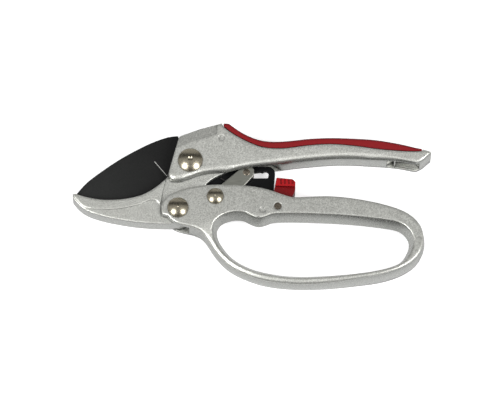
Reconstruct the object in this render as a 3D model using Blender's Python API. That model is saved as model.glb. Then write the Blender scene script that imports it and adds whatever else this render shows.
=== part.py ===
"""Ratchet anvil pruning shears, closed, lying on their back with the handles towards +X.

The jaws point to -X, the upper handle lies at +Y and the rivet heads face +Z. Outlines are drawn in
millimetres in the plane of the shears, with the blade pivot at the origin and z = 0 in the middle of the
blade.
"""

import math

import bmesh
import bpy
from mathutils import Matrix, Vector
from mathutils.geometry import interpolate_bezier

# Units and fits
MM = 0.001
GAP = 0.3  # between pieces that touch
RUNNING_GAP = 0.15  # round pins and sleeves
CUT_PAST = 4.0  # how far a cutter runs past what it cuts

# Pivots, from the blade pivot
HANDLE_PIVOT = Vector((-6.9, -28.7))
LINK_PIVOT = Vector((14.3, -21.8))
RATCHET_PIN = Vector((32.1, -5.9))
LATCH_PIVOT = Vector((49.9, -27.7))

# How far the shears reach from the blade pivot, and where each reach starts to stretch the outlines
HANDLE_REACH = 137.6
HANDLE_FROM = 62.0
JAW_REACH = 67.0
JAW_FROM = 16.0
LOOP_REACH = 73.7
LOOP_FROM = 46.0

# The stack through the thickness
HANDLE_THICKNESS = 17.0
TONGUE_THICKNESS = 10.0
HOOK_THICKNESS = 11.5
BLADE_THICKNESS = 3.0
BLADE_SLOT_GAP = 0.4
LINK_PLATE = 2.0
LINK_OUTER = 9.5  # over both plates
LOOP_THINNING = 2.0  # each face of the loop's lower bar lies this much deeper

# Castings
CAST_RADIUS = 2.8
SHARP_RADIUS = 0.6
SEAT_RADIUS = 0.3  # round the grip's seat
TAIL_RADIUS = 1.0  # at the upper handle's tail
CREST_RADIUS = 1.2  # round the top of the upper handle's head
BAR_RADIUS = 0.9  # round the lower handle's head
LOOP_RADIUS = 2.4  # round the loop's lower bar
LOOP_END_RADIUS = 1.1
LOOP_BULGE = 2.9  # draft of the loop's inner wall, at mid-height
OUTER_BULGE = 0.5
END_BULGE = 0.4  # more, at the loop's right end
ROOF_WALL = 3.0
FACET_STEP = 0.3
FACET_DEPTH = 1.4
FACET_STATIONS = 8
LIP_HEIGHT = 0.6
LIP_INSET = 0.25
LIP_RADIUS = 0.36
MARK_DEPTH = 0.35  # round ejector marks
MARK_RADIUS = 1.8
HEAD_END_RADIUS = 9.5  # of the lower handle round its pivot
TONGUE_END_RADIUS = 8.6
CHEEK_RADIUS = 9.3  # of the tongue round the blade pivot
JAW_CHANNEL_RADIUS = 10.8  # room in the lower handle for the tongue's end
HUB_ROOM = 0.8  # between the blade's hub and the jaw's slot

# Grip
GRIP_RADIUS = 2.0
GRIP_ROUND_SHARE = 0.8  # of the grip's depth, where it is thinner than its radius
GRIP_ROUND_STEPS = 3
GRIP_STATIONS = 36

# Rivets
BLADE_HEAD_RADIUS = 7.0
HANDLE_HEAD_RADIUS = 5.9
LINK_HEAD_RADIUS = 4.7
BLADE_SHANK_RADIUS = 3.4
HANDLE_SHANK_RADIUS = 3.0
LINK_SHANK_RADIUS = 2.2
HEAD_RISE = 2.2
HEAD_RIM = 0.5
HEAD_CRATER = 1.5  # radius of the dent in its middle
CRATER_DEPTH = 0.3
HEAD_CORNER = 0.2
HEAD_LEDGE = 0.35
DOME_STEPS = 6
DOME_SHAPE = 0.8  # below 1 for a fuller dome
RIVET_EDGE = 0.3
COLLAR_WIDTH = 2.0
COLLAR_DEPTH = 1.6
COLLAR_SINK = 0.1  # below the back face
RIVET_SINK = 0.2
BUSH_WALL = 1.6

# Blade
HUB_RADIUS = 12.6
GRIND_EDGE = 0.35  # thickness left at the cutting edge
GRIND_PAST = 1.12  # how far the grind's cutter sinks past the edge, for a rim drawn outside it
SLOT_CORNER = 0.9
ANVIL_GAP = 0.3
NOTCH_PITCH = 3.6
NOTCH_COUNT = 4
NOTCH_RADIUS = 1.9
NOTCH_RISE = 0.2  # notch centres above the pin's centre
SLOT_TOP = 1.5  # above and below the pin's centre
SLOT_BOTTOM = 2.5
SLOT_END = 1.6

# Link
PIN_RADIUS = 1.35
PIN_END_RADIUS = 1.1
PIN_HEAD_RADIUS = 2.0
PIN_HEAD_HEIGHT = 0.35
PIN_HEAD_GAP = 0.1
PIN_EDGE = 0.3
LINK_HALF_WIDTH = 4.1
LINK_SWELL = (11.7, 2.4)  # the far side's swell, from the link's pivot
LINK_CROP = ((4.2, -1.8), (4.2, 2.0), (2.0, 4.1), (-1.6, 4.1))  # its end, from the ratchet pin
LINK_EDGE = 0.25
LINK_ROUND = 4.4
SPACER_RADIUS = 3.0
SPRING_WIRE = 0.9
SPRING_SIDE_GAP = 0.2
SPRING_TURNS = 3
SPRING_POINTS = 10  # along each turn
SPRING_START = 70.0
SPRING_WEB_LEG = 22.0
SPRING_BEND = (7.1, 9.6)  # from the link's pivot
SPRING_KNEE = (5.9, 11.4)
SPRING_TIP = (3.0, 13.2)

# Latch
LATCH_THICKNESS = 9.8
LATCH_EDGE = 0.5
PAD_THICKNESS = 13.2
LATCH_HUB_RADIUS = 2.8
LATCH_PIN_RADIUS = 1.5
LATCH_HEAD_RADIUS = 2.0
GROOVES = 4
GROOVE_PITCH = 2.2
GROOVE_WIDTH = 0.9
GROOVE_DEPTH = 0.45

# Channels and clearances worked out from the sizes above
HANDLE_HALF = HANDLE_THICKNESS / 2
TONGUE_HALF = TONGUE_THICKNESS / 2
HOOK_HALF = HOOK_THICKNESS / 2
BLADE_HALF = BLADE_THICKNESS / 2
CHANNEL_HALF = TONGUE_HALF + GAP
SLOT_HALF = BLADE_HALF + BLADE_SLOT_GAP


def reached(value, start, drawn, wanted):
    """A distance stretched beyond its start, so that the drawn reach becomes the wanted one."""
    return value if value < start else start + (value - start) * (wanted - start) / (drawn - start)


def placed(point):
    """A drawn point moved with the reaches of the handles, the jaw and the loop."""
    across, along = point
    if across > 0.0:
        across = reached(across, HANDLE_FROM, DRAWN_HANDLE, HANDLE_REACH)
    else:
        across = -reached(-across, JAW_FROM, DRAWN_JAW, JAW_REACH)
    return Vector((across, -reached(-along, LOOP_FROM, DRAWN_LOOP, LOOP_REACH)))


def smooth(points, step=3.0, closed=False):
    """A smooth curve through the drawn points, with a point about every step."""
    points = [placed(p) for p in points]
    count = len(points)
    result = []
    spans = count if closed else count - 1
    for index in range(spans):
        before = points[index - 1] if closed or index > 0 else points[0] * 2 - points[1]
        here = points[index]
        there = points[(index + 1) % count]
        if closed or index + 2 < count:
            after = points[(index + 2) % count]
        else:
            after = points[-1] * 2 - points[-2]
        span = (there - here).length
        into = (there - before).normalized() * span / 3
        out = (after - here).normalized() * span / 3
        pieces = max(1, round(span / step))
        run = interpolate_bezier(here, here + into, there - out, there, pieces + 1)
        result += [Vector(p[:2]) for p in run[:-1]]
    if not closed:
        result.append(points[-1])
    return result


def arc(centre, radius, start, end, step=3.0):
    """Points along an arc between two angles in degrees, counter-clockwise when end is the larger."""
    turn = math.radians(end - start)
    pieces = max(2, round(abs(turn) * radius / step))
    result = []
    for index in range(pieces + 1):
        angle = math.radians(start) + turn * index / pieces
        result.append(Vector(centre) + radius * Vector((math.cos(angle), math.sin(angle))))
    return result


def joined(*runs):
    """One closed outline from runs laid end to end, without doubled points."""
    result = []
    for run in runs:
        for point in run:
            point = Vector(point)
            if not result or (point - result[-1]).length > 0.05:
                result.append(point)
    if (result[0] - result[-1]).length < 0.05:
        result.pop()
    return result


def spaced(line, count):
    """The same line with evenly spaced points."""
    lengths = [0.0]
    for one, two in zip(line, line[1:]):
        lengths.append(lengths[-1] + (two - one).length)
    result = []
    at = 1
    for index in range(count):
        target = lengths[-1] * index / (count - 1)
        while at < len(line) - 1 and lengths[at] < target:
            at += 1
        share = (target - lengths[at - 1]) / (lengths[at] - lengths[at - 1])
        result.append(line[at - 1].lerp(line[at], share))
    return result


def offset(outline, distance):
    """A closed counter-clockwise outline moved outwards; distance is a number or a function of the point."""
    result = []
    count = len(outline)
    for index, point in enumerate(outline):
        along = (outline[(index + 1) % count] - outline[index - 1]).normalized()
        amount = distance(point) if callable(distance) else distance
        result.append(point + Vector((along.y, -along.x)) * amount)
    return result


def blend(value, start, end):
    """0 before start, 1 after end, and a smooth rise between them."""
    share = min(1.0, max(0.0, (value - start) / (end - start)))
    return share * share * (3 - 2 * share)


def material(name, colour, roughness, metallic):
    """A plain surface finish."""
    made = bpy.data.materials.new(name)
    made.use_nodes = True
    shader = made.node_tree.nodes["Principled BSDF"]
    shader.inputs["Base Color"].default_value = (*colour, 1.0)
    shader.inputs["Roughness"].default_value = roughness
    shader.inputs["Metallic"].default_value = metallic
    return made


def add_object(name, bm, root, finish=None, cutter=False, sharp=40.0):
    """Turns a mesh drawn in millimetres into an object in metres under the root."""
    bmesh.ops.scale(bm, vec=(MM, MM, MM), verts=bm.verts)
    bmesh.ops.recalc_face_normals(bm, faces=bm.faces)
    mesh = bpy.data.meshes.new(name)
    bm.to_mesh(mesh)
    bm.free()
    mesh.shade_smooth()
    mesh.set_sharp_from_angle(angle=math.radians(sharp))
    made = bpy.data.objects.new(name, mesh)
    bpy.context.collection.objects.link(made)
    made.parent = root
    if finish:
        mesh.materials.append(finish)
    if cutter:
        made.hide_render = True
        made.display_type = "WIRE"
    return made


def set_pivot(made, point):
    """Moves an object's origin to a pivot without moving its mesh."""
    shift = Vector((point[0] * MM, point[1] * MM, 0.0))
    made.data.transform(Matrix.Translation(-shift))
    made.location = shift


def prism_mesh(outline, low, high):
    """A straight prism over an outline."""
    bm = bmesh.new()
    bottom = [bm.verts.new((p[0], p[1], low)) for p in outline]
    top = [bm.verts.new((p[0], p[1], high)) for p in outline]
    count = len(outline)
    for index in range(count):
        after = (index + 1) % count
        bm.faces.new((bottom[index], bottom[after], top[after], top[index]))
    bm.faces.new(list(reversed(bottom)))
    bm.faces.new(top)
    return bm


def prism(name, outline, low, high, root, **settings):
    """A prism as an object."""
    return add_object(name, prism_mesh(outline, low, high), root, **settings)


def casting_mesh(outline, half, rim, hole=None, bulge=0.0, hole_bulge=0.0):
    """A flat casting: walls that swell towards mid-height, and rims whose radius follows the point.

    half, rim and bulge are functions of a point or numbers, and a hole runs clockwise. The radii are stored
    on the rim edges for a bevel.
    """
    bm = bmesh.new()
    weights = bm.edges.layers.float.new("bevel_weight_edge")
    radius_of = rim if callable(rim) else (lambda point: rim)
    half_of = half if callable(half) else (lambda point: half)
    loops = [(outline, bulge, radius_of)]
    if hole:
        loops.append((hole, hole_bulge, lambda point: SHARP_RADIUS))
    caps = {-1: [], 1: []}
    rims = []
    for line, swell, radius in loops:
        middle = offset(line, swell)
        rings = []
        for level, ring in ((-1, line), (0, middle), (1, line)):
            rings.append([bm.verts.new((p[0], p[1], level * half_of(q))) for p, q in zip(ring, line)])
        count = len(line)
        for low, high in zip(rings, rings[1:]):
            for index in range(count):
                after = (index + 1) % count
                bm.faces.new((low[index], low[after], high[after], high[index]))
        for level, ring in ((-1, rings[0]), (1, rings[2])):
            for index in range(count):
                edge = bm.edges.get((ring[index], ring[(index + 1) % count]))
                caps[level].append(edge)
                rims.append((edge, radius((line[index] + line[(index + 1) % count]) / 2)))
    for level in (-1, 1):
        bmesh.ops.triangle_fill(bm, edges=caps[level], use_beauty=True, use_dissolve=not hole)
    for edge, radius in rims:
        edge[weights] = radius / CAST_RADIUS
    return bm


def round_rims(made, segments=3):
    """Rounds the rims by the radii stored on their edges."""
    bevel = made.modifiers.new("rims", "BEVEL")
    bevel.width = CAST_RADIUS * MM
    bevel.segments = segments
    bevel.limit_method = "WEIGHT"
    bevel.use_clamp_overlap = False


def cut(made, *cutters):
    """Takes the cutters away from an object."""
    for cutter in cutters:
        boolean = made.modifiers.new(cutter.name, "BOOLEAN")
        boolean.operation = "DIFFERENCE"
        boolean.solver = "EXACT"
        boolean.object = cutter


def fuse(made, *others):
    """Joins cutter shapes to an object."""
    for other in others:
        boolean = made.modifiers.new(other.name, "BOOLEAN")
        boolean.operation = "UNION"
        boolean.solver = "EXACT"
        boolean.object = other


def revolve_mesh(profile, centre, closed=False, segments=32):
    """A turned shape from (radius, z) points; a profile that isn't closed starts and ends on the axis."""
    bm = bmesh.new()
    rings = []
    for radius, height in profile:
        if radius < 1e-6:
            rings.append([bm.verts.new((centre[0], centre[1], height))])
            continue
        ring = []
        for index in range(segments):
            angle = 2 * math.pi * index / segments
            across = centre[0] + radius * math.cos(angle)
            ring.append(bm.verts.new((across, centre[1] + radius * math.sin(angle), height)))
        rings.append(ring)
    pairs = list(zip(rings, rings[1:]))
    if closed:
        pairs.append((rings[-1], rings[0]))
    for low, high in pairs:
        for index in range(segments):
            after = (index + 1) % segments
            corners = [low[index % len(low)], low[after % len(low)]]
            corners += [high[after % len(high)], high[index % len(high)]]
            bm.faces.new(list(dict.fromkeys(corners)))
    return bm


def revolved(name, profile, centre, root, closed=False, segments=32, **settings):
    """A turned shape as an object with its origin on its axis."""
    made = add_object(name, revolve_mesh(profile, centre, closed, segments), root, **settings)
    set_pivot(made, centre)
    return made


def hole_cutter(name, centre, radius, root, low=-HANDLE_THICKNESS, high=HANDLE_THICKNESS, segments=32):
    """A round cutter along Z."""
    ring = arc(centre, radius, 0, 360, 2 * math.pi * radius / segments)[:-1]
    return prism(name, ring, low, high, root, cutter=True)


def wedge_cutter(name, inner, outer, inner_depth, outer_depth, high, root):
    """A cutter whose sloping floor runs from one line to another along them."""
    bm = bmesh.new()
    stations = []
    for a, b in zip(inner, outer):
        floor_in = bm.verts.new((a[0], a[1], inner_depth))
        floor_out = bm.verts.new((b[0], b[1], outer_depth))
        roof_out = bm.verts.new((b[0], b[1], high))
        roof_in = bm.verts.new((a[0], a[1], high))
        stations.append((floor_in, floor_out, roof_out, roof_in))
    for one, two in zip(stations, stations[1:]):
        for side in range(4):
            after = (side + 1) % 4
            bm.faces.new((one[side], one[after], two[after], two[side]))
    bm.faces.new(stations[0])
    bm.faces.new(list(reversed(stations[-1])))
    return add_object(name, bm, root, cutter=True)


def mirrored_cutter(source, name, root):
    """The same cutter on the back face."""
    bm = bmesh.new()
    bm.from_mesh(source.data)
    bmesh.ops.scale(bm, vec=(1 / MM, 1 / MM, -1 / MM), verts=bm.verts)
    return add_object(name, bm, root, cutter=True)


# Outlines, from the blade pivot

# The anvil line of the hook, from its tip to the upper handle's edge
ANVIL = [(-65.4, -18.9), (-61.7, -20.3), (-53.4, -22.2), (-46.1, -22.7), (-37.0, -22.0), (-27.3, -19.5),
         (-19.5, -14.8), (-13.5, -9.4)]
# The back of the blade, from the upper handle's edge to its tip
SPINE = [(-7.4, 17.4), (-12.9, 16.7), (-22.3, 13.2), (-32.8, 7.7), (-42.1, 2.0), (-53.5, -6.4),
         (-59.6, -11.6), (-64.6, -17.6)]
BLADE_TIP = (-65.0, -18.2)
# Where the grind starts, from the pivot end to the tip
GRIND = [(-21.0, 2.3), (-27.3, 2.4), (-37.8, -1.6), (-48.4, -7.6), (-57.6, -14.4), (-65.5, -21.5)]
# The grind's far side, past the cutting edge
GRIND_RIM = [(-12.6, -9.8), (-19.8, -16.6), (-27.6, -21.6), (-37.0, -24.2), (-47.0, -24.9),
             (-57.0, -24.0), (-68.0, -21.9)]
# The hook's belly, from its tip to the tongue
BELLY = [(-67.0, -19.2), (-66.9, -21.5), (-64.8, -24.4), (-61.2, -27.8), (-56.2, -30.5), (-47.1, -33.3),
         (-32.6, -36.0), (-22.1, -37.0), (-11.5, -37.3)]
# The raised lip's lower edge, from the tip to the tongue
LIP = [(-63.9, -24.2), (-61.2, -26.8), (-57.0, -28.2), (-48.1, -28.8), (-39.8, -28.3), (-32.6, -26.7),
       (-27.3, -25.0), (-22.6, -23.0), (-19.6, -23.2), (-17.2, -25.4)]
LIP_TIP = [(-66.3, -19.6), (-66.2, -21.4)]
# The step from the hook's faces to the tongue's
STEP = [(-12.6, -42.0), (-15.9, -35.4), (-17.0, -30.0), (-16.6, -24.0), (-15.6, -17.5), (-14.4, -12.0),
        (-13.0, -6.0)]
# The tongue's right side, from the handle pivot up to the arm
TONGUE_RIGHT = [(2.0, -30.4), (5.6, -24.0), (7.2, -18.4), (8.8, -13.8), (12.3, -10.3), (16.5, -7.9),
                (20.6, -5.6), (24.0, -0.6)]
# The arm inside the upper handle, from its lower corner round its end to the cheeks
ARM = [(24.0, -0.6), (36.5, -0.6), (38.0, 1.0), (37.4, 5.2), (30.6, 8.7), (23.2, 13.2), (17.2, 17.6),
       (4.0, 9.0)]

# The blade's slot in the jaw: below the swinging tail, and above it
SLOT_BELOW = [(-2.6, -16.0), (2.2, -20.6), (11.5, -26.4), (12.0, -60.0)]
SLOT_ABOVE = [(60.0, -60.0), (60.0, -1.3), (31.0, -1.2), (22.0, 0.6)]

# The upper handle, from its lower left corner along its underside to the tail
UPPER_UNDER = [(-8.6, -12.1), (-5.7, -12.0), (-1.2, -10.4), (6.0, -7.8), (14.0, -6.5), (20.5, -6.4),
               (26.5, -4.7), (37.4, -2.8), (48.4, -1.6), (62.0, 0.2), (84.5, 2.0), (104.0, 1.4),
               (119.5, 0.3), (128.2, -1.4)]
UPPER_TAIL = [(129.6, -1.2), (132.6, 0.4), (135.9, 3.4), (137.6, 4.8), (137.2, 5.5), (132.8, 6.9)]
# The seat of the grip, from the step at the tail to the shoulder
GRIP_SEAT = [(132.3, 5.7), (128.3, 5.4), (119.5, 5.8), (108.0, 6.8), (93.2, 8.9), (80.0, 9.9),
             (66.9, 9.1), (57.0, 7.7), (49.3, 7.2), (40.6, 8.2), (31.8, 11.9), (24.6, 16.1),
             (20.4, 19.2), (18.9, 20.7)]
UPPER_CREST = [(18.0, 23.0), (5.7, 19.5), (-5.6, 15.2)]
UPPER_LEFT = [(-6.5, 14.4), (-12.7, -7.8), (-12.2, -10.2), (-10.8, -11.8)]
# The back of the grip, from the shoulder to the tail
GRIP_BACK = [(18.9, 23.1), (20.8, 23.8), (25.9, 19.8), (32.2, 15.8), (40.6, 12.6), (49.3, 11.9),
             (58.1, 12.5), (66.9, 13.6), (80.0, 14.2), (93.2, 13.8), (106.0, 12.9), (119.5, 10.5),
             (128.3, 8.3), (132.2, 7.2)]
# The roof of the upper handle's channel, from its pointed end to the open front
CHANNEL_ROOF = [(52.6, -1.6), (46.0, 2.6), (38.2, 5.7), (31.0, 9.2), (23.6, 13.7), (17.4, 18.4)]
FACET = [(-11.0, 6.2), (-7.6, 7.9), (-3.5, 10.0), (1.8, 11.9), (6.6, 13.5), (11.3, 14.9), (15.2, 16.3)]
FACET_RIM = [(-10.6, 15.0), (-4.0, 18.0), (2.6, 20.3), (9.8, 22.6), (15.4, 24.2)]
UPPER_MARK = (17.9, 13.7)
# The pocket under the upper handle's tail
TAIL_POCKET = [(111.0, -4.0), (112.5, 1.9), (117.0, 3.6), (123.0, 3.4), (128.3, 2.6), (130.6, 1.0),
               (131.6, -4.0)]

# The lower handle, from the left of its head along the bottom and round the loop
LOWER_OUTER = [(-12.7, -33.4), (-9.3, -36.8), (-3.8, -38.9), (1.6, -40.2), (5.4, -41.9), (8.9, -45.7),
               (14.1, -54.1), (20.8, -61.6), (29.2, -66.9), (42.1, -71.6), (59.0, -73.7), (76.0, -73.3),
               (94.0, -71.1), (110.0, -68.2), (122.6, -63.0), (130.1, -56.0), (132.4, -47.6),
               (130.7, -39.2), (124.1, -32.1), (112.2, -27.1), (95.9, -23.4), (80.0, -21.6),
               (66.0, -21.9), (58.6, -22.2), (52.5, -20.4), (44.0, -17.4), (34.0, -15.4), (22.0, -14.6),
               (10.0, -14.8), (-1.0, -16.4)]
LOWER_INNER = [(12.3, -41.2), (13.6, -37.0), (16.1, -34.1), (20.1, -32.0), (25.5, -30.7), (31.0, -31.2),
               (35.6, -33.5), (39.1, -34.7), (42.3, -33.9), (46.4, -32.3), (55.0, -31.8), (70.0, -32.1),
               (90.0, -33.2), (110.0, -35.5), (119.0, -37.5), (124.6, -41.8), (127.2, -47.9),
               (125.6, -55.0), (120.6, -61.7), (109.3, -65.9), (94.0, -68.4), (75.0, -70.0),
               (58.0, -70.2), (44.4, -68.4), (32.4, -64.9), (21.8, -58.4), (14.1, -48.2)]
LOWER_MARK = (41.3, -30.0)
# The lower handle's channel, anticlockwise from the web's left end
LOWER_CHANNEL = [(5.4, -28.4), (9.0, -27.4), (45.8, -27.4), (46.6, -30.8), (53.4, -30.8), (60.4, -21.0),
                 (60.4, -4.0), (-30.0, -4.0), (-30.0, -48.0), (-0.6, -48.0)]

# The blade's tail, from the hub's underside to the hub's top
TAIL = [(6.0, -14.4), (12.0, -16.2), (22.0, -18.0), (36.0, -20.6), (44.6, -22.6), (46.9, -21.6),
        (46.9, -20.4), (45.6, -19.9), (45.6, -17.6), (47.5, -16.9)]
TAIL_CORNER_CENTRE = Vector((44.4, -5.4))
TAIL_CORNER_RADIUS = 4.0

# The latch, clockwise from its pad's upper left corner round to its hub
LATCH_BLOCK = [(49.2, -9.7), (58.4, -10.6), (60.0, -12.2), (59.8, -16.9), (58.2, -20.8), (54.0, -25.0)]
# Its left side, from the hub up past the nose that enters the tail's notch
LATCH_LEFT = [(47.4, -27.0), (48.2, -22.1), (48.9, -19.4), (47.4, -18.85), (47.55, -17.5),
              (48.4, -14.0)]
LATCH_SLOT = [(44.0, -17.2), (51.4, -17.2), (51.4, -5.0), (44.0, -5.0)]
# The thumb pad's lower edge, and its ribs' grooves
PAD_EDGE = [(44.0, -14.4), (64.0, -15.5)]
GROOVE_FIRST = 51.3
GROOVE_FOOT = -13.7


# Where the loop's bar thins downwards, and thickens again towards its right end
THIN_FROM_TO = (36.0, 50.0)
THICK_FROM_TO = (60.0, 122.0)
# Where the rims' radii change
TAIL_FROM_TO = (100.0, 128.0)
CREST_FROM_TO = (-8.0, 2.0)
HEAD_FROM_TO = (0.0, 40.0)
SEAT_ENDS = (17.0, 132.6)
SEAT_LEVEL = 5.2
END_FROM_TO = (112.0, 128.0)
# The reaches of the drawn outlines
DRAWN_HANDLE = max(x for x, y in UPPER_TAIL)
DRAWN_JAW = -min(x for x, y in BELLY)
DRAWN_LOOP = -min(y for x, y in LOWER_OUTER)


def thin(point):
    """How far a point belongs to the loop's thinner lower bar."""
    return blend(-point[1], *THIN_FROM_TO) * (1.0 - blend(point[0], *THICK_FROM_TO))


def build_upper_handle(root, finish):
    """The upper handle: a channel over the jaw's tongue, narrowing to a solid grip and a pocketed tail."""
    outline = joined(smooth(UPPER_UNDER), smooth(UPPER_TAIL, 1.5), smooth(GRIP_SEAT),
                     smooth(UPPER_CREST, 6.0), smooth(UPPER_LEFT, 1.5))

    seat_ends = [placed((end, 0.0)).x for end in SEAT_ENDS]

    def rim(point):
        if seat_ends[0] < point[0] < seat_ends[1] and point[1] > SEAT_LEVEL:
            return SEAT_RADIUS
        at_crest = blend(point[1], *CREST_FROM_TO) * (1.0 - blend(point[0], *HEAD_FROM_TO))
        at_tail = blend(point[0], *TAIL_FROM_TO)
        return CAST_RADIUS + (TAIL_RADIUS - CAST_RADIUS) * at_tail + (CREST_RADIUS - CAST_RADIUS) * at_crest

    made = add_object("upper_handle", casting_mesh(outline, HANDLE_HALF, rim), root, finish)
    round_rims(made)
    roof_left = offset_line(smooth(UPPER_CREST, 6.0), ROOF_WALL)
    channel = joined([(-24.0, 40.0), (-24.0, -24.0), (52.6, -24.0)], smooth(CHANNEL_ROOF), roof_left[:-1],
                     [(4.4, roof_height(roof_left, 4.4)), (4.4, 40.0)])
    cutters = [
        prism("upper_channel", channel, -CHANNEL_HALF, CHANNEL_HALF, root, cutter=True),
        prism("tail_pocket", smooth(TAIL_POCKET, 2.5), -CHANNEL_HALF, CHANNEL_HALF, root, cutter=True),
        hole_cutter("upper_bore", (0, 0), BLADE_SHANK_RADIUS + GAP, root),
        hole_cutter("upper_collar_seat", (0, 0), BLADE_SHANK_RADIUS + COLLAR_WIDTH + GAP, root,
                    -HANDLE_THICKNESS, -HANDLE_HALF + COLLAR_DEPTH + GAP),
    ]
    inner = spaced(smooth(FACET), FACET_STATIONS)
    outer = spaced(smooth(FACET_RIM), FACET_STATIONS)
    facet = wedge_cutter("facet_front", inner, outer, HANDLE_HALF - FACET_STEP, HANDLE_HALF - FACET_DEPTH,
                         HANDLE_HALF + CUT_PAST, root)
    cutters.append(facet)
    cutters.append(mirrored_cutter(facet, "facet_rear", root))
    cutters.append(hole_cutter("upper_mark", UPPER_MARK, MARK_RADIUS, root, HANDLE_HALF - MARK_DEPTH,
                               segments=20))
    cut(made, *cutters)
    return made


def offset_line(line, distance):
    """An open line moved to its left."""
    result = []
    for index, point in enumerate(line):
        along = (line[min(index + 1, len(line) - 1)] - line[max(index - 1, 0)]).normalized()
        result.append(point + Vector((-along.y, along.x)) * distance)
    return result


def roof_height(line, across):
    """The height of a line at a distance along X."""
    for one, two in zip(line, line[1:]):
        if min(one.x, two.x) <= across <= max(one.x, two.x):
            share = (across - one.x) / (two.x - one.x)
            return one.y + share * (two.y - one.y)
    return line[-1].y


def build_grip(root, finish):
    """The soft inlay on the upper handle's back: rounded sections along the seat, thinning to its ends."""
    seat = spaced(offset_line(list(reversed(smooth(GRIP_SEAT))), GAP), GRIP_STATIONS)
    back = spaced(smooth(GRIP_BACK), GRIP_STATIONS)
    bm = bmesh.new()
    rings = []
    for low, high in zip(seat, back):
        depth = (high - low).length
        up = (high - low) / depth
        radius = min(GRIP_RADIUS, GRIP_ROUND_SHARE * depth)
        front = [(0.0, HANDLE_HALF)]
        for index in range(GRIP_ROUND_STEPS + 1):
            angle = math.pi / 2 * index / GRIP_ROUND_STEPS
            front.append((depth - radius + radius * math.sin(angle),
                          HANDLE_HALF - radius + radius * math.cos(angle)))
        profile = front + [(rise, -level) for rise, level in reversed(front)]
        rings.append([bm.verts.new((*(low + up * rise), level)) for rise, level in profile])
    for one, two in zip(rings, rings[1:]):
        for index in range(len(one)):
            after = (index + 1) % len(one)
            bm.faces.new((one[index], one[after], two[after], two[index]))
    bm.faces.new(list(reversed(rings[0])))
    bm.faces.new(rings[-1])
    return add_object("upper_grip", bm, root, finish)


def build_jaw(root, finish):
    """The hook with its anvil edge, the slotted tongue and the arm that keys into the upper handle."""
    tongue = arc(HANDLE_PIVOT, TONGUE_END_RADIUS, -108, -12)
    cheeks = arc((0, 0), CHEEK_RADIUS, 62, 196)
    outline = joined(smooth(BELLY), tongue, smooth(TONGUE_RIGHT), smooth(ARM[:-1], 4.0), cheeks,
                     list(reversed(smooth(ANVIL, 2.5))))
    made = add_object("anvil_jaw", casting_mesh(outline, HOOK_HALF - LIP_HEIGHT, SHARP_RADIUS), root, finish)
    round_rims(made, 2)
    lip = joined(smooth(LIP), [(-15.6, -23.0), (-15.0, -18.0), (-13.4, -10.0)],
                 list(reversed(offset_line(smooth(ANVIL, 2.5), -LIP_INSET)))[1:], smooth(LIP_TIP))
    band = add_object("lip_band", casting_mesh(lip, HOOK_HALF, LIP_RADIUS), root, cutter=True)
    round_rims(band, 1)
    fuse(made, band)
    right_of_step = joined(smooth(STEP), [(60.0, -6.0), (60.0, 40.0), (70.0, 40.0), (70.0, -42.0)])
    face_cutters = []
    for name, low, high in (("tongue_front", TONGUE_HALF, HOOK_HALF + CUT_PAST),
                            ("tongue_rear", -HOOK_HALF - CUT_PAST, -TONGUE_HALF)):
        face_cutters.append(prism(name, right_of_step, low, high, root, cutter=True))
    hub_room = HUB_RADIUS + HUB_ROOM
    slot = joined([(-14.6, -10.3)], arc((0, 0), hub_room, 238, 250), SLOT_BELOW, SLOT_ABOVE,
                  arc((0, 0), hub_room, 20, 90), [(-6.0, 24.0), (-30.0, 24.0), (-30.0, -2.0)])
    cutters = face_cutters + [
        prism("blade_slot", slot, -SLOT_HALF, SLOT_HALF, root, cutter=True),
        hole_cutter("jaw_blade_bore", (0, 0), BLADE_SHANK_RADIUS + RUNNING_GAP, root),
        hole_cutter("jaw_handle_bore", HANDLE_PIVOT, HANDLE_SHANK_RADIUS + RUNNING_GAP, root),
    ]
    cut(made, *cutters)
    return made


def blade_outline():
    """The blade's edge, hub, tail and spine, counter-clockwise from the tip."""
    edge = offset_line(smooth(ANVIL, 2.5), ANVIL_GAP)
    edge = [placed(BLADE_TIP)] + edge[1:]
    hub_under = arc((0, 0), HUB_RADIUS, 236, 282)
    corner = arc(TAIL_CORNER_CENTRE, TAIL_CORNER_RADIUS, 0, 90, 1.5)
    hub_top = arc((0, 0), HUB_RADIUS, 15, 112)
    return joined(edge, hub_under, TAIL, corner, [(31.0, corner[-1].y), (22.0, 0.0)], hub_top, smooth(SPINE))


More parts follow.
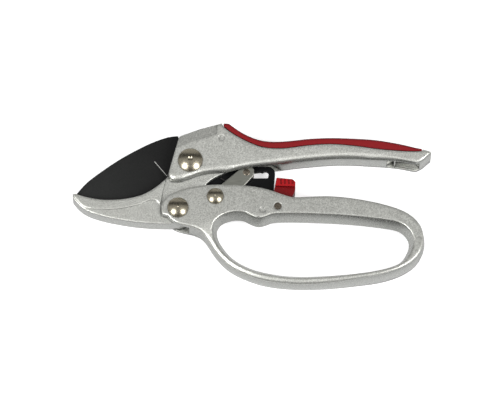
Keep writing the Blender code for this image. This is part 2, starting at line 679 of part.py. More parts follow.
def build_blade(root, finish):
    """The blade with its ground bevel, bore, and the notched slot of its tail."""
    made = prism("blade", blade_outline(), -BLADE_HALF, BLADE_HALF, root, finish=finish, sharp=25.0)
    grind = smooth(GRIND, 4.0)
    rim = spaced(smooth(GRIND_RIM), len(grind))
    run_out = (BLADE_HALF - GRIND_EDGE / 2) * GRIND_PAST
    ground = wedge_cutter("grind_front", grind, rim, BLADE_HALF, BLADE_HALF - run_out,
                          BLADE_HALF + CUT_PAST, root)
    slot_low = RATCHET_PIN.y - SLOT_BOTTOM
    slot_high = RATCHET_PIN.y + SLOT_TOP
    slot_left = RATCHET_PIN.x - SLOT_END
    slot_right = RATCHET_PIN.x + NOTCH_PITCH * (NOTCH_COUNT - 1) + SLOT_END
    corners = ((slot_left + SLOT_CORNER, slot_low + SLOT_CORNER),
               (slot_right - SLOT_CORNER, slot_low + SLOT_CORNER),
               (slot_right - SLOT_CORNER, slot_high - SLOT_CORNER),
               (slot_left + SLOT_CORNER, slot_high - SLOT_CORNER))
    window = joined(*(arc(corner, SLOT_CORNER, 180 + 90 * index, 270 + 90 * index, 0.5)
                      for index, corner in enumerate(corners)))
    cutters = [ground, mirrored_cutter(ground, "grind_rear", root),
               prism("ratchet_slot", window, -CUT_PAST, CUT_PAST, root, cutter=True)]
    for index in range(NOTCH_COUNT):
        centre = RATCHET_PIN + Vector((NOTCH_PITCH * index, NOTCH_RISE))
        cutters.append(hole_cutter(f"notch_{index + 1}", centre, NOTCH_RADIUS, root, -CUT_PAST, CUT_PAST,
                                   segments=20))
    bore = BLADE_SHANK_RADIUS + BUSH_WALL + 2 * RUNNING_GAP
    cutters.append(hole_cutter("blade_bore", (0, 0), bore, root, -CUT_PAST, CUT_PAST))
    cut(made, *cutters)
    return made


def head_profile(head_radius, shank_radius, rear):
    """A domed rivet from its rear end to the top of its head."""
    seat = HANDLE_HALF + GAP
    profile = [(0.0, rear), (shank_radius - RIVET_EDGE, rear), (shank_radius, rear + RIVET_EDGE)]
    profile += [(shank_radius, seat), (head_radius - HEAD_CORNER, seat), (head_radius, seat + HEAD_RIM)]
    foot = head_radius - HEAD_LEDGE
    for index in range(1, DOME_STEPS):
        angle = math.pi / 2 * index / DOME_STEPS
        height = seat + HEAD_RIM + HEAD_RISE * math.sin(angle)
        profile.append((foot * math.cos(angle) ** DOME_SHAPE, height))
    top = seat + HEAD_RIM + HEAD_RISE
    profile += [(HEAD_CRATER, top), (HEAD_CRATER * 0.6, top - CRATER_DEPTH), (0.0, top - CRATER_DEPTH / 2)]
    return profile


def tube_profile(inner, outer, low, high, chamfer=0.2):
    """A plain ring."""
    return [(inner, low), (outer - chamfer, low), (outer, low + chamfer), (outer, high - chamfer),
            (outer - chamfer, high), (inner, high)]


def build_rivets(root, steel):
    """The three domed rivets with the collars on their rear ends."""
    rear = -HANDLE_HALF + RIVET_SINK
    sizes = (("blade_rivet", Vector((0, 0)), BLADE_HEAD_RADIUS, BLADE_SHANK_RADIUS),
             ("handle_rivet", HANDLE_PIVOT, HANDLE_HEAD_RADIUS, HANDLE_SHANK_RADIUS),
             ("link_rivet", LINK_PIVOT, LINK_HEAD_RADIUS, LINK_SHANK_RADIUS))
    for name, centre, head, shank in sizes:
        revolved(name, head_profile(head, shank, rear), centre, root, finish=steel)
        collar = tube_profile(shank + RUNNING_GAP, shank + COLLAR_WIDTH, -HANDLE_HALF + COLLAR_SINK,
                              -HANDLE_HALF + COLLAR_DEPTH)
        revolved(f"{name}_collar", collar, centre, root, closed=True, segments=28, finish=steel)


def build_blade_bearing(root, steel):
    """The sleeve in the blade's bore."""
    inner = BLADE_SHANK_RADIUS + RUNNING_GAP
    sleeve = tube_profile(inner, inner + BUSH_WALL, -BLADE_HALF, BLADE_HALF)
    revolved("blade_bush", sleeve, (0, 0), root, closed=True, segments=28, finish=steel)


def link_outline():
    """One plate of the link: round at its pivot, cropped at the ratchet pin."""
    along = (RATCHET_PIN - LINK_PIVOT).normalized()
    side = Vector((-along.y, along.x))
    tilt = math.degrees(math.atan2(along.y, along.x))
    crop = [RATCHET_PIN + Vector(corner) for corner in LINK_CROP]
    return joined(arc(LINK_PIVOT, LINK_ROUND, tilt + 110, tilt + 250, 2.0),
                  [LINK_PIVOT + Vector(LINK_SWELL)], crop, [RATCHET_PIN + side * LINK_HALF_WIDTH])


def build_link(root, steel, dark_steel):
    """The link's two plates and the shouldered pin that rides in the notches."""
    outer = LINK_OUTER / 2
    inner = outer - LINK_PLATE
    for name, low, high in (("link_front", inner, outer), ("link_rear", -outer, -inner)):
        plate = prism(name, link_outline(), low, high, root, finish=steel)
        bevel = plate.modifiers.new("edges", "BEVEL")
        bevel.width = LINK_EDGE * MM
        bevel.segments = 1
        bevel.limit_method = "ANGLE"
        bevel.angle_limit = math.radians(60)
        cut(plate, hole_cutter(f"{name}_bore", LINK_PIVOT, LINK_SHANK_RADIUS + RUNNING_GAP, root),
            hole_cutter(f"{name}_pin_bore", RATCHET_PIN, PIN_END_RADIUS + RUNNING_GAP, root, segments=20))
        set_pivot(plate, LINK_PIVOT)
    head = outer + PIN_HEAD_GAP
    half_shank = inner - RUNNING_GAP
    half_profile = [(PIN_RADIUS, half_shank), (PIN_END_RADIUS, half_shank), (PIN_END_RADIUS, head),
                    (PIN_HEAD_RADIUS, head), (PIN_HEAD_RADIUS - PIN_EDGE, head + PIN_HEAD_HEIGHT),
                    (0.0, head + PIN_HEAD_HEIGHT)]
    profile = [(radius, -height) for radius, height in reversed(half_profile)] + half_profile
    revolved("ratchet_pin", profile, RATCHET_PIN, root, segments=24, finish=dark_steel)
    spacer = tube_profile(LINK_SHANK_RADIUS + RUNNING_GAP, SPACER_RADIUS, -inner + GAP, inner - GAP)
    revolved("link_spacer", spacer, LINK_PIVOT, root, closed=True, segments=24, finish=steel)


def build_spring(root, steel):
    """The torsion spring round the link's spacer: its legs reach the jaw's tongue and the handle's web."""
    radius = SPACER_RADIUS + GAP + SPRING_WIRE / 2
    level = LINK_OUTER / 2 - LINK_PLATE - SPRING_WIRE / 2 - SPRING_SIDE_GAP
    bend = LINK_PIVOT + Vector(SPRING_BEND)
    to_bend = bend - LINK_PIVOT
    end = math.atan2(to_bend.y, to_bend.x) - math.acos(radius / to_bend.length) + 2 * math.pi * SPRING_TURNS
    start = math.radians(SPRING_START)
    steps = round((end - start) / (2 * math.pi) * SPRING_POINTS)
    coil = []
    for index in range(steps + 1):
        angle = start + (end - start) * index / steps
        coil.append(Vector((LINK_PIVOT.x + radius * math.cos(angle), LINK_PIVOT.y + radius * math.sin(angle),
                            level * (2 * index / steps - 1))))
    web_leg = Vector((math.sin(start), -math.cos(start), 0.0)) * SPRING_WEB_LEG
    jaw_leg = [LINK_PIVOT + Vector(p) for p in (SPRING_BEND, SPRING_KNEE, SPRING_TIP)]
    points = [coil[0] + web_leg, coil[0] + web_leg / 2] + coil
    points += [Vector((p.x, p.y, level)) for p in jaw_leg]
    curve = bpy.data.curves.new("opening_spring", "CURVE")
    curve.dimensions = "3D"
    curve.bevel_depth = SPRING_WIRE / 2 * MM
    curve.bevel_resolution = 1
    curve.use_fill_caps = True
    spline = curve.splines.new("POLY")
    spline.points.add(len(points) - 1)
    for target, point in zip(spline.points, points):
        target.co = (point.x * MM, point.y * MM, point.z * MM, 1.0)
    curve.materials.append(steel)
    made = bpy.data.objects.new("opening_spring", curve)
    bpy.context.collection.objects.link(made)
    made.parent = root
    apart = SPRING_POINTS // 2
    gaps = [(a - b).length for i, a in enumerate(coil) for j, b in enumerate(coil) if j - i > apart]
    print(f"opening_spring: least gap to itself {min(gaps) - SPRING_WIRE:.2f} mm")
    return made


def build_lower_handle(root, finish):
    """The lower handle: a channel at its head and a closed finger loop."""
    head = arc(HANDLE_PIVOT, HEAD_END_RADIUS, 105, 205)
    outline = joined(head, smooth(LOWER_OUTER))

    def half(point):
        return HANDLE_HALF - LOOP_THINNING * thin(point)

    def rim(point):
        at_end = blend(point[0], *END_FROM_TO)
        bar = BAR_RADIUS + (LOOP_RADIUS - BAR_RADIUS) * thin(point)
        return bar + (LOOP_END_RADIUS - bar) * at_end

    def bulge(point):
        return OUTER_BULGE + END_BULGE * blend(point[0], *END_FROM_TO)

    mesh = casting_mesh(outline, half, rim, smooth(LOWER_INNER, 1.9, closed=True), bulge, LOOP_BULGE)
    made = add_object("lower_handle", mesh, root, finish)
    round_rims(made)
    channel = joined([(-0.6, -48.0)], arc(HANDLE_PIVOT, JAW_CHANNEL_RADIUS, -54, -12), LOWER_CHANNEL[:-1])
    cutters = [
        prism("lower_channel", channel, -CHANNEL_HALF, CHANNEL_HALF, root, cutter=True),
        hole_cutter("lower_handle_bore", HANDLE_PIVOT, HANDLE_SHANK_RADIUS + GAP, root),
        hole_cutter("lower_link_bore", LINK_PIVOT, LINK_SHANK_RADIUS + GAP, root),
        hole_cutter("lower_latch_bore", LATCH_PIVOT, LATCH_HEAD_RADIUS + RUNNING_GAP, root, segments=24),
        hole_cutter("lower_mark", LOWER_MARK, MARK_RADIUS, root, HANDLE_HALF - MARK_DEPTH, segments=20),
    ]
    for name, centre, shank in (("handle_collar_seat", HANDLE_PIVOT, HANDLE_SHANK_RADIUS),
                                ("link_collar_seat", LINK_PIVOT, LINK_SHANK_RADIUS)):
        cutters.append(hole_cutter(name, centre, shank + COLLAR_WIDTH + GAP, root, -HANDLE_THICKNESS,
                                   -HANDLE_HALF + COLLAR_DEPTH + GAP))
    cut(made, *cutters)
    set_pivot(made, HANDLE_PIVOT)
    return made


def build_latch(root, red, steel):
    """The thumb latch that straddles the blade's tail, and its pin."""
    half = LATCH_THICKNESS / 2
    pad_half = PAD_THICKNESS / 2
    hub = arc(LATCH_PIVOT, LATCH_HUB_RADIUS, 180, 330, 1.5)
    outline = joined(hub, list(reversed(LATCH_BLOCK)), list(reversed(LATCH_LEFT)))
    made = prism("latch", outline, -pad_half, pad_half, root, finish=red)
    bevel = made.modifiers.new("edges", "BEVEL")
    bevel.width = LATCH_EDGE * MM
    bevel.segments = 2
    bevel.limit_method = "ANGLE"
    bevel.angle_limit = math.radians(35)
    below_pad = PAD_EDGE[::-1] + [(PAD_EDGE[0][0], -40.0), (PAD_EDGE[1][0], -40.0)]
    cutters = [prism("latch_slot", LATCH_SLOT, -SLOT_HALF, SLOT_HALF, root, cutter=True),
               prism("below_pad_front", below_pad, half, half + CUT_PAST, root, cutter=True),
               prism("below_pad_rear", below_pad, -half - CUT_PAST, -half, root, cutter=True),
               hole_cutter("latch_bore", LATCH_PIVOT, LATCH_PIN_RADIUS + RUNNING_GAP, root, segments=24)]
    for index in range(GROOVES):
        left = GROOVE_FIRST + GROOVE_PITCH * index
        right = left + GROOVE_WIDTH
        groove = [(left, GROOVE_FOOT), (right, GROOVE_FOOT), (right, 0.0), (left, 0.0)]
        for side, low, high in (("front", pad_half - GROOVE_DEPTH, pad_half + CUT_PAST),
                                ("rear", -pad_half - CUT_PAST, GROOVE_DEPTH - pad_half)):
            cutters.append(prism(f"groove_{side}_{index + 1}", groove, low, high, root, cutter=True))
    cut(made, *cutters)
    set_pivot(made, LATCH_PIVOT)
    rear = -HANDLE_HALF + COLLAR_SINK
    front = HANDLE_HALF + COLLAR_SINK
    profile = [(0.0, rear), (LATCH_HEAD_RADIUS, rear), (LATCH_HEAD_RADIUS, -CHANNEL_HALF),
               (LATCH_PIN_RADIUS, -CHANNEL_HALF), (LATCH_PIN_RADIUS, CHANNEL_HALF),
               (LATCH_HEAD_RADIUS, CHANNEL_HALF), (LATCH_HEAD_RADIUS, front - RIVET_EDGE),
               (LATCH_HEAD_RADIUS - RIVET_EDGE, front), (0.0, front)]
    revolved("latch_pin", profile, LATCH_PIVOT, root, segments=24, finish=steel)
    return made


def rest_on_floor(root):
    """Sets the root so that the back face lies on z = 0, under the middle of the shears."""
    bpy.context.view_layer.update()
    graph = bpy.context.evaluated_depsgraph_get()
    low = Vector((1e9, 1e9, 1e9))
    high = -low
    for made in bpy.context.scene.objects:
        if made.type not in {"MESH", "CURVE"} or made.hide_render:
            continue
        evaluated = made.evaluated_get(graph)
        mesh = evaluated.to_mesh()
        for vertex in mesh.vertices:
            point = evaluated.matrix_world @ vertex.co
            low = Vector(map(min, low, point))
            high = Vector(map(max, high, point))
        evaluated.to_mesh_clear()
    root.location -= Vector(((low.x + high.x) / 2, (low.y + high.y) / 2, low.z))
    bpy.context.view_layer.update()
    for name, point in (("blade pivot", Vector((0, 0))), ("handle pivot", HANDLE_PIVOT),
                        ("link pivot", LINK_PIVOT), ("latch pivot", LATCH_PIVOT)):
        world = root.matrix_world @ Vector((point.x * MM, point.y * MM, 0.0))
        print(f"{name}: {world.x:.5f} {world.y:.5f} {world.z:.5f}")
    print("size", [round(v, 5) for v in (high - low)])


def main():
    for old in list(bpy.data.objects):
        bpy.data.objects.remove(old, do_unlink=True)
    root = bpy.data.objects.new("shears", None)
    bpy.context.collection.objects.link(root)
    silver = material("cast_aluminium", (0.52, 0.54, 0.52), 0.45, 0.6)
    black = material("black_coating", (0.02, 0.02, 0.022), 0.5, 0.0)
    nickel = material("nickel", (0.55, 0.52, 0.46), 0.2, 1.0)
    steel = material("plain_steel", (0.5, 0.49, 0.45), 0.35, 1.0)
    dark_steel = material("dark_steel", (0.25, 0.23, 0.2), 0.4, 1.0)
    grip = material("grip_rubber", (0.45, 0.02, 0.03), 0.7, 0.0)
    red = material("latch_plastic", (0.6, 0.01, 0.015), 0.35, 0.0)
    build_upper_handle(root, silver)
    build_grip(root, grip)
    build_jaw(root, silver)
    build_blade(root, black)
    build_blade_bearing(root, steel)
    build_rivets(root, nickel)
    build_lower_handle(root, silver)
    build_link(root, steel, dark_steel)
    build_spring(root, steel)
    build_latch(root, red, steel)
    rest_on_floor(root)


main()
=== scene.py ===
"""Looks of the ratchet pruning shears: finishes, camera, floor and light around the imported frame."""

import math

import bmesh
import bpy
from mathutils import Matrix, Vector


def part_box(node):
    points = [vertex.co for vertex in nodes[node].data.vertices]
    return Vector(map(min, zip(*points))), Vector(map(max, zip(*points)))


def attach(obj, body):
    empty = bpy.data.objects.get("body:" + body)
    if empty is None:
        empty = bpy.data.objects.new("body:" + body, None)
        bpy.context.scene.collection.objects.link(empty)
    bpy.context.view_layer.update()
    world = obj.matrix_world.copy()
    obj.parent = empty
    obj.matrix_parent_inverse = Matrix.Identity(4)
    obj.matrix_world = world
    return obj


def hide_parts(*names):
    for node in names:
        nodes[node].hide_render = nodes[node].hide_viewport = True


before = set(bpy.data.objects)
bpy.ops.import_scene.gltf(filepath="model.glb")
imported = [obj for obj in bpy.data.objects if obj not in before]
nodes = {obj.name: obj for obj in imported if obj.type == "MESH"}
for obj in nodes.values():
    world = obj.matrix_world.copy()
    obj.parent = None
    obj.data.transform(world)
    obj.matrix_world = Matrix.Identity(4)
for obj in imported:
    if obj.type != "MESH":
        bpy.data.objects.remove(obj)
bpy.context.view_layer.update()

MM = 0.001

# Camera, at the photograph's angle
CAMERA_ELEVATION = math.radians(69.94)  # above the floor
CAMERA_DISTANCE = 2.62
CAMERA_LENS = 329.4
CAMERA_TARGET = Vector((-0.00125, 0.00768, 0.0))

# Light
# The room's shade by how far a direction leans along y, from the finger loop's side to the upper handle's
ROOM_SHADES = ((-1.0, 0.10), (-0.8, 0.12), (-0.45, 0.26), (0.0, 0.50), (0.38, 0.56), (0.56, 0.08),
               (0.77, 0.05), (0.84, 0.46), (1.0, 0.56))
LIGHT_POWER = 8.3
LIGHT_SIZE = 0.7
LIGHT_PLACE = (0.70, -0.40, 0.90)  # of the right one, which the left one mirrors

# Floor
FLOOR_HALF = 2.5
FLOOR_DROP = 0.2 * MM  # under the shears' lowest faces
FLOOR_SHADE = (0.8, 0.8, 0.8, 1.0)
FLOOR_GLOW = 0.6  # where the camera sees it
MIRRORED_GLOW = 0.1  # where metal mirrors it

# Surfaces
MID_HEIGHT = 8.5 * MM  # the castings' middle plane, which is also half their thickness
SPLIT_ANGLE = math.radians(32.0)  # sharper edges split the shading
WELD_REACH = 0.002 * MM
LARGE_FACE_WEIGHT = 90
SHADING_SAMPLES = 6
NOISE_RANGE = (0.3, 0.7)  # the levels between which most of a noise lies
WHOLE = (0.0, 1.0)
EDGE_ROUND = 0.75 * MM  # the castings' edges
FAR_EDGE_ROUND = 2.2 * MM  # and those that face the upper handle's side
WALL_CROWN = 2.4 * MM
# The lower handle's paint is a darker copy of the upper one's, as painted shade
LOWER_PAINTED_SHADE = 0.89  # the lower handle's paint against the upper one's
# The line where the blade's ground bevel stops, painted there as a highlight
BEVEL_END = ((-56.0 * MM, 27.6 * MM, 0.0), (-48.4 * MM, 18.3 * MM, 0.0))
BEVEL_HIGHLIGHT_WIDTH = 0.45 * MM

# Rivets
# Node, body, shank's radius, dome's rise, and the radius of the dimple in its head, or less than 0 for a pip
RIVETS = (("blade_rivet", "upper", 3.4 * MM, 2.35 * MM, 1.5 * MM),
          ("handle_rivet", "upper", 3.0 * MM, 2.1 * MM, -0.5 * MM),
          ("link_rivet", "lower", 2.2 * MM, 1.6 * MM, -0.4 * MM))
HEAD_SEAT = 17.3 * MM
HEAD_EDGE = ((0.15, 0.0), (0.0, 0.1), (0.0, 0.25), (0.06, 0.3), (0.22, 0.3))  # mm in from the edge, and up
DOME_STEPS = 14
HOLLOW_STEPS = 6
HOLLOW_SLOPE = 0.38  # a hollow's depth, or a pip's height, against its radius
CUP_MOUTH = 0.62  # the cup in the upset end, against the shank's radius
CUP_FLOOR = 0.5
CUP_SHOULDER = 0.2 * MM
CUP_DEPTH = 0.35 * MM
UPSET_EASE = 0.3 * MM
RIVET_SIDES = 72

# Pins
PIN_RADIUS = 1.35 * MM  # the ratchet pin, between the link's plates
PIN_END_RADIUS = 1.1 * MM  # and in their bores
PLATE_INNER = 2.7 * MM  # the plates' faces, from the middle
PLATE_OUTER = 4.8 * MM
PIN_HEAD_GAP = 0.05 * MM
PIN_HEAD_RIM = 0.02 * MM
PIN_HEAD_STEPS = 8
PIN_HEAD_FLATNESS = 1.3
LATCH_SHANK = 1.5 * MM
LATCH_SEAT = 5.7 * MM  # the latch pin's shoulders, from the middle
LATCH_PIN_EASE = ((0.3, 0.0), (0.0, 0.25))  # mm in from its edge, and up from its rear end
LATCH_PIN_FACE = ((0.0, 0.12), (0.12, 0.0), (0.45, 0.0), (0.6, 0.18))  # mm in from its edge, and down
LATCH_PIN_MARK = ((0.6, 0.14), (0.45, 0.3), (0.0, 0.4))  # mm out from its axis, and down
PIN_SIDES = 40

# Castings' details
LOOP_MARK = Vector((94.9 * MM, -22.3 * MM, 0.0))
# mm out from the mark's middle, and up from the casting's face
LOOP_MARK_OUTLINE = ((0.0, -0.3), (1.75, -0.3), (1.75, 0.08), (1.6, 0.16), (1.35, 0.16), (1.2, 0.04),
                     (0.0, 0.04))
POCKET_FLOOR = 2.9 * MM  # in the upper handle's tail
TAIL_RIB = ((81.1, 26.6), (81.9, 26.5), (81.9, 29.3), (81.1, 29.3))  # mm
TAIL_RIB_TOP = 14.1 * MM
TAIL_RIB_EASE = 0.2 * MM
TAIL_LIP = ((82.3, 27.0), (86.0, 26.5), (90.0, 25.7), (92.4, 25.2), (93.4, 25.5), (93.7, 26.3), (93.1, 26.4),
            (92.9, 25.9), (92.2, 25.75), (89.9, 26.25), (85.9, 27.05), (82.2, 27.55))  # mm
TAIL_LIP_HEIGHT = 0.9 * MM
TAIL_LIP_EASE = 0.12 * MM


def socket(sockets, name, kind):
    """The one of several sockets of a name that carries that kind of value."""
    return next(one for one in sockets if one.name == name and one.type == kind)


def tinted(colour, tone):
    return tuple(part * tone for part in colour)


class Finish:
    """A material whose nodes are joined with short calls, in the part's own coordinates and in metres."""

    def __init__(self, name, metallic, specular=0.5):
        self.material = bpy.data.materials.new(name)
        self.material.use_nodes = True
        self.tree = self.material.node_tree
        self.shader = self.tree.nodes["Principled BSDF"]
        self.shader.inputs["Metallic"].default_value = metallic
        self.shader.inputs["Specular IOR Level"].default_value = specular
        coordinates = self.add("ShaderNodeTexCoord")
        self.place = coordinates.outputs["Object"]
        self.facing = coordinates.outputs["Normal"]

    def add(self, kind, **settings):
        node = self.tree.nodes.new(kind)
        for name, value in settings.items():
            setattr(node, name, value)
        return node

    def join(self, source, target):
        self.tree.links.new(source, target)

    def fill(self, sockets, values):
        """Writes each number or vector on its socket, and joins each output to it."""
        for target, value in zip(sockets, values):
            if isinstance(value, (float, tuple)):
                target.default_value = value
            else:
                self.join(value, target)

    def maths(self, operation, *values):
        node = self.add("ShaderNodeMath", operation=operation)
        self.fill(node.inputs, values)
        return node.outputs[0]

    def vectors(self, operation, *values):
        node = self.add("ShaderNodeVectorMath", operation=operation)
        self.fill(node.inputs, values)
        return node.outputs[0]

    def part(self, vector, axis):
        """One coordinate of a vector."""
        node = self.add("ShaderNodeSeparateXYZ")
        self.join(vector, node.inputs[0])
        return node.outputs[axis]

    def span(self, value, levels, to=WHOLE):
        """The value between two levels, carried to two others and held there."""
        node = self.add("ShaderNodeMapRange")
        node.inputs["From Min"].default_value = levels[0]
        node.inputs["From Max"].default_value = levels[1]
        node.inputs["To Min"].default_value = to[0]
        node.inputs["To Max"].default_value = to[1]
        self.join(value, node.inputs["Value"])
        return node.outputs["Result"]

    def mix(self, share, one, two, kind="RGBA"):
        """Two colours or vectors, written out or from earlier nodes, mixed by a share."""
        node = self.add("ShaderNodeMix", data_type=kind)
        self.join(share, node.inputs["Factor"])
        values = [(*value, 1.0) if isinstance(value, tuple) else value for value in (one, two)]
        self.fill([socket(node.inputs, name, kind) for name in ("A", "B")], values)
        return socket(node.outputs, "Result", kind)

    def stretched(self, scale, turn=0.0):
        """Coordinates turned about z by some degrees, and stretched along the axes."""
        mapping = self.add("ShaderNodeMapping")
        mapping.inputs["Scale"].default_value = scale
        mapping.inputs["Rotation"].default_value = (0.0, 0.0, math.radians(turn))
        self.join(self.place, mapping.inputs["Vector"])
        return mapping.outputs["Vector"]

    def noise(self, size, detail=2.0, rough=0.5, place=None):
        """Noise whose features are about that many metres across."""
        node = self.add("ShaderNodeTexNoise")
        node.inputs["Scale"].default_value = 1.0 / size
        node.inputs["Detail"].default_value = detail
        node.inputs["Roughness"].default_value = rough
        self.join(place or self.place, node.inputs["Vector"])
        return node.outputs["Fac"]

    def cells(self, size, output="Color", randomness=1.0, place=None):
        """Voronoi cells about that many metres across."""
        node = self.add("ShaderNodeTexVoronoi")
        node.inputs["Scale"].default_value = 1.0 / size
        node.inputs["Randomness"].default_value = randomness
        self.join(place or self.place, node.inputs["Vector"])
        return node.outputs[output]

    def bump(self, height, depth, strength=1.0, over=None):
        """A bump of that many metres, over an earlier normal."""
        node = self.add("ShaderNodeBump")
        node.inputs["Distance"].default_value = depth
        self.fill([node.inputs["Strength"]], [strength])
        self.join(height, node.inputs["Height"])
        if over:
            self.join(over, node.inputs["Normal"])
        return node.outputs["Normal"]

    def faces(self, levels=(0.3, 0.8), normal=None):
        """1 on the flat faces and 0 on the walls round them."""
        return self.span(self.maths("ABSOLUTE", self.part(normal or self.facing, "Z")), levels)

    def beyond(self, axis, levels):
        """0 below one place along an axis, and 1 beyond another."""
        return self.span(self.part(self.place, axis), levels)

    def corners(self, reach):
        """0 in tight corners, and 1 on open surfaces."""
        node = self.add("ShaderNodeAmbientOcclusion", samples=SHADING_SAMPLES)
        node.inputs["Distance"].default_value = reach
        return self.span(node.outputs["AO"], (0.35, 0.85))

    def stroke(self, start, end, width):
        """1 on a straight line between two points seen from above, and 0 away from it."""
        ahead = Vector(end) - Vector(start)
        half = ahead.length / 2
        turn = -math.atan2(ahead.y, ahead.x)
        back = -Vector(start)
        mapping = self.add("ShaderNodeMapping")
        mapping.inputs["Rotation"].default_value = (0.0, 0.0, turn)
        mapping.inputs["Location"].default_value = (back.x * math.cos(turn) - back.y * math.sin(turn),
                                                    back.x * math.sin(turn) + back.y * math.cos(turn), 0.0)
        self.join(self.place, mapping.inputs["Vector"])
        aside = self.maths("ABSOLUTE", self.part(mapping.outputs["Vector"], "Y"))
        along = self.maths("SUBTRACT", self.part(mapping.outputs["Vector"], "X"), half)
        near = self.span(aside, (0.3 * width, 0.6 * width), (1.0, 0.0))
        within = self.span(self.maths("ABSOLUTE", along), (half - width, half), (1.0, 0.0))
        return self.maths("MULTIPLY", near, within)

    def rounded(self, radius):
        """The normal with edges rounded to that radius."""
        node = self.add("ShaderNodeBevel", samples=SHADING_SAMPLES)
        node.inputs["Radius"].default_value = radius
        return node.outputs["Normal"]

    def softened(self, tight, wide):
        """The normal rounded tightly, and widely where an edge faces the upper handle's side."""
        gentle = self.rounded(wide)
        share = self.span(self.part(gentle, "Y"), (0.0, 0.12), (0.12, 0.9))
        return self.vectors("NORMALIZE", self.mix(share, self.rounded(tight), gentle, "VECTOR"))

    def crowned(self, depth, over):
        """A normal by which walls shade as if they swelled by that depth between their rims."""
        aside = self.maths("ABSOLUTE", self.maths("SUBTRACT", self.part(self.place, "Z"), MID_HEIGHT))
        level = self.maths("DIVIDE", aside, MID_HEIGHT)
        swell = self.maths("MULTIPLY", self.maths("POWER", level, 4.0), -1.0)
        walls = self.maths("SUBTRACT", 1.0, self.faces((0.02, 0.4)))
        return self.bump(swell, depth, walls, over)

    def flakes(self, size, tilt, share, over):
        """Tilts the normal at random from cell to cell, as metal flakes in paint do."""
        spread = self.vectors("MULTIPLY_ADD", self.cells(size), (tilt,) * 3, (-tilt / 2,) * 3)
        tilted = self.vectors("ADD", self.vectors("MULTIPLY", spread, share), over)
        return self.vectors("NORMALIZE", tilted)

    def done(self, colour, roughness, normal):
        """The material, with its shader joined up."""
        self.join(colour, self.shader.inputs["Base Color"])
        self.join(roughness, self.shader.inputs["Roughness"])
        self.join(normal, self.shader.inputs["Normal"])
        return self.material


def silver_paint(name, tone):
    """Silver paint on cast aluminium: sparkling faces, plainer walls painted darker as shade, painted shade
    in tight corners, a slight orange peel.
    """
    made = Finish(name, metallic=0.85)
    faces = made.faces()
    grain = made.span(made.noise(0.62 * MM, rough=0.75), (0.38, 0.62))
    clouds = made.span(made.noise(9.0 * MM, detail=3.0), NOISE_RANGE)
    fine = made.mix(grain, tinted((0.56, 0.565, 0.52), tone), tinted((0.88, 0.885, 0.83), tone))
    cloudy = made.mix(grain, tinted((0.60, 0.605, 0.56), tone), tinted((0.92, 0.925, 0.87), tone))
    # The walls get a darker colour than the faces, as painted shade
    shaded_wall = made.mix(grain, (0.36, 0.365, 0.35), (0.43, 0.435, 0.415))
    painted = made.mix(faces, shaded_wall, made.mix(clouds, fine, cloudy))
    # Tight corners are darkened to near black, as painted shade
    corner_shaded = made.mix(made.corners(1.4 * MM), (0.03, 0.03, 0.03), painted)
    sheen = made.span(made.noise(0.8 * MM), NOISE_RANGE, (0.22, 0.29))
    roughness = made.maths("ADD", sheen, made.span(faces, WHOLE, (0.0, 0.13)))
    crown = made.crowned(WALL_CROWN, made.softened(EDGE_ROUND, FAR_EDGE_ROUND))
    peel = made.bump(made.noise(1.3 * MM), 0.04 * MM, 0.5, crown)
    sparkle = made.flakes(0.6 * MM, 0.15, made.faces((0.93, 0.995)), peel)
    return made.done(corner_shaded, roughness, sparkle)


def blade_coating():
    """Matt black non-stick coating, greyer toward the blade's tip, with painted shade on its tail and a
    painted highlight where the ground bevel ends.
    """
    made = Finish("blade_coating", metallic=0.0, specular=0.2)
    grain = made.span(made.noise(0.35 * MM, detail=3.0, rough=0.7), (0.35, 0.65))
    tip = made.mix(grain, (0.012, 0.0125, 0.012), (0.025, 0.026, 0.025))
    heel = made.mix(grain, (0.005, 0.005, 0.005), (0.012, 0.012, 0.012))
    # The tail's near black is painted shade, where it lies between the handles
    tail = made.mix(grain, (0.0006, 0.0008, 0.001), (0.003, 0.0035, 0.004))
    edge = made.mix(made.beyond("X", (-84.0 * MM, -46.0 * MM)), tip, heel)
    coated = made.mix(made.beyond("X", (-34.0 * MM, -24.0 * MM)), edge, tail)
    # A pale stroke along the bevel's end, as a painted highlight
    toned = made.mix(made.stroke(*BEVEL_END, BEVEL_HIGHLIGHT_WIDTH), coated, (0.42, 0.42, 0.40))
    roughness = made.span(made.noise(2.5 * MM, detail=3.0), NOISE_RANGE, (0.38, 0.5))
    return made.done(toned, roughness, made.bump(grain, 0.02 * MM, 0.5, made.rounded(0.2 * MM)))


def nickel():
    """Bright nickel plate with faint handling marks."""
    made = Finish("nickel", metallic=1.0)
    marks = made.span(made.noise(0.9 * MM, detail=4.0, rough=0.6), (0.35, 0.65))
    colour = made.mix(marks, (0.355, 0.321, 0.242), (0.43, 0.393, 0.305))
    roughness = made.span(made.noise(1.8 * MM, detail=3.0), NOISE_RANGE, (0.23, 0.30))
    return made.done(colour, roughness, made.bump(marks, 0.002 * MM, 0.3))


def plain_steel():
    """Stamped steel, rolled along the link's length, with its edges and walls painted pale as a highlight.
    """
    made = Finish("plain_steel", metallic=1.0)
    rolled = made.noise(0.6 * MM, detail=3.0, rough=0.6, place=made.stretched((0.12, 1.0, 1.0), turn=-41.0))
    streaks = made.span(rolled, NOISE_RANGE)
    face = made.mix(streaks, (0.31, 0.315, 0.275), (0.40, 0.405, 0.36))
    # Edges and walls are painted pale, as a highlight
    colour = made.mix(made.faces((0.5, 0.95)), (0.82, 0.81, 0.75), face)
    roughness = made.span(streaks, WHOLE, (0.30, 0.40))
    return made.done(colour, roughness, made.bump(streaks, 0.01 * MM, 0.5, made.rounded(0.35 * MM)))


def spring_wire():
    """Oil-blacked spring wire."""
    made = Finish("spring_wire", metallic=1.0)
    film = made.span(made.noise(0.7 * MM, detail=3.0), NOISE_RANGE)
    colour = made.mix(film, (0.030, 0.030, 0.034), (0.075, 0.073, 0.070))
    return made.done(colour, made.span(film, WHOLE, (0.32, 0.5)), made.bump(film, 0.01 * MM, 0.4))


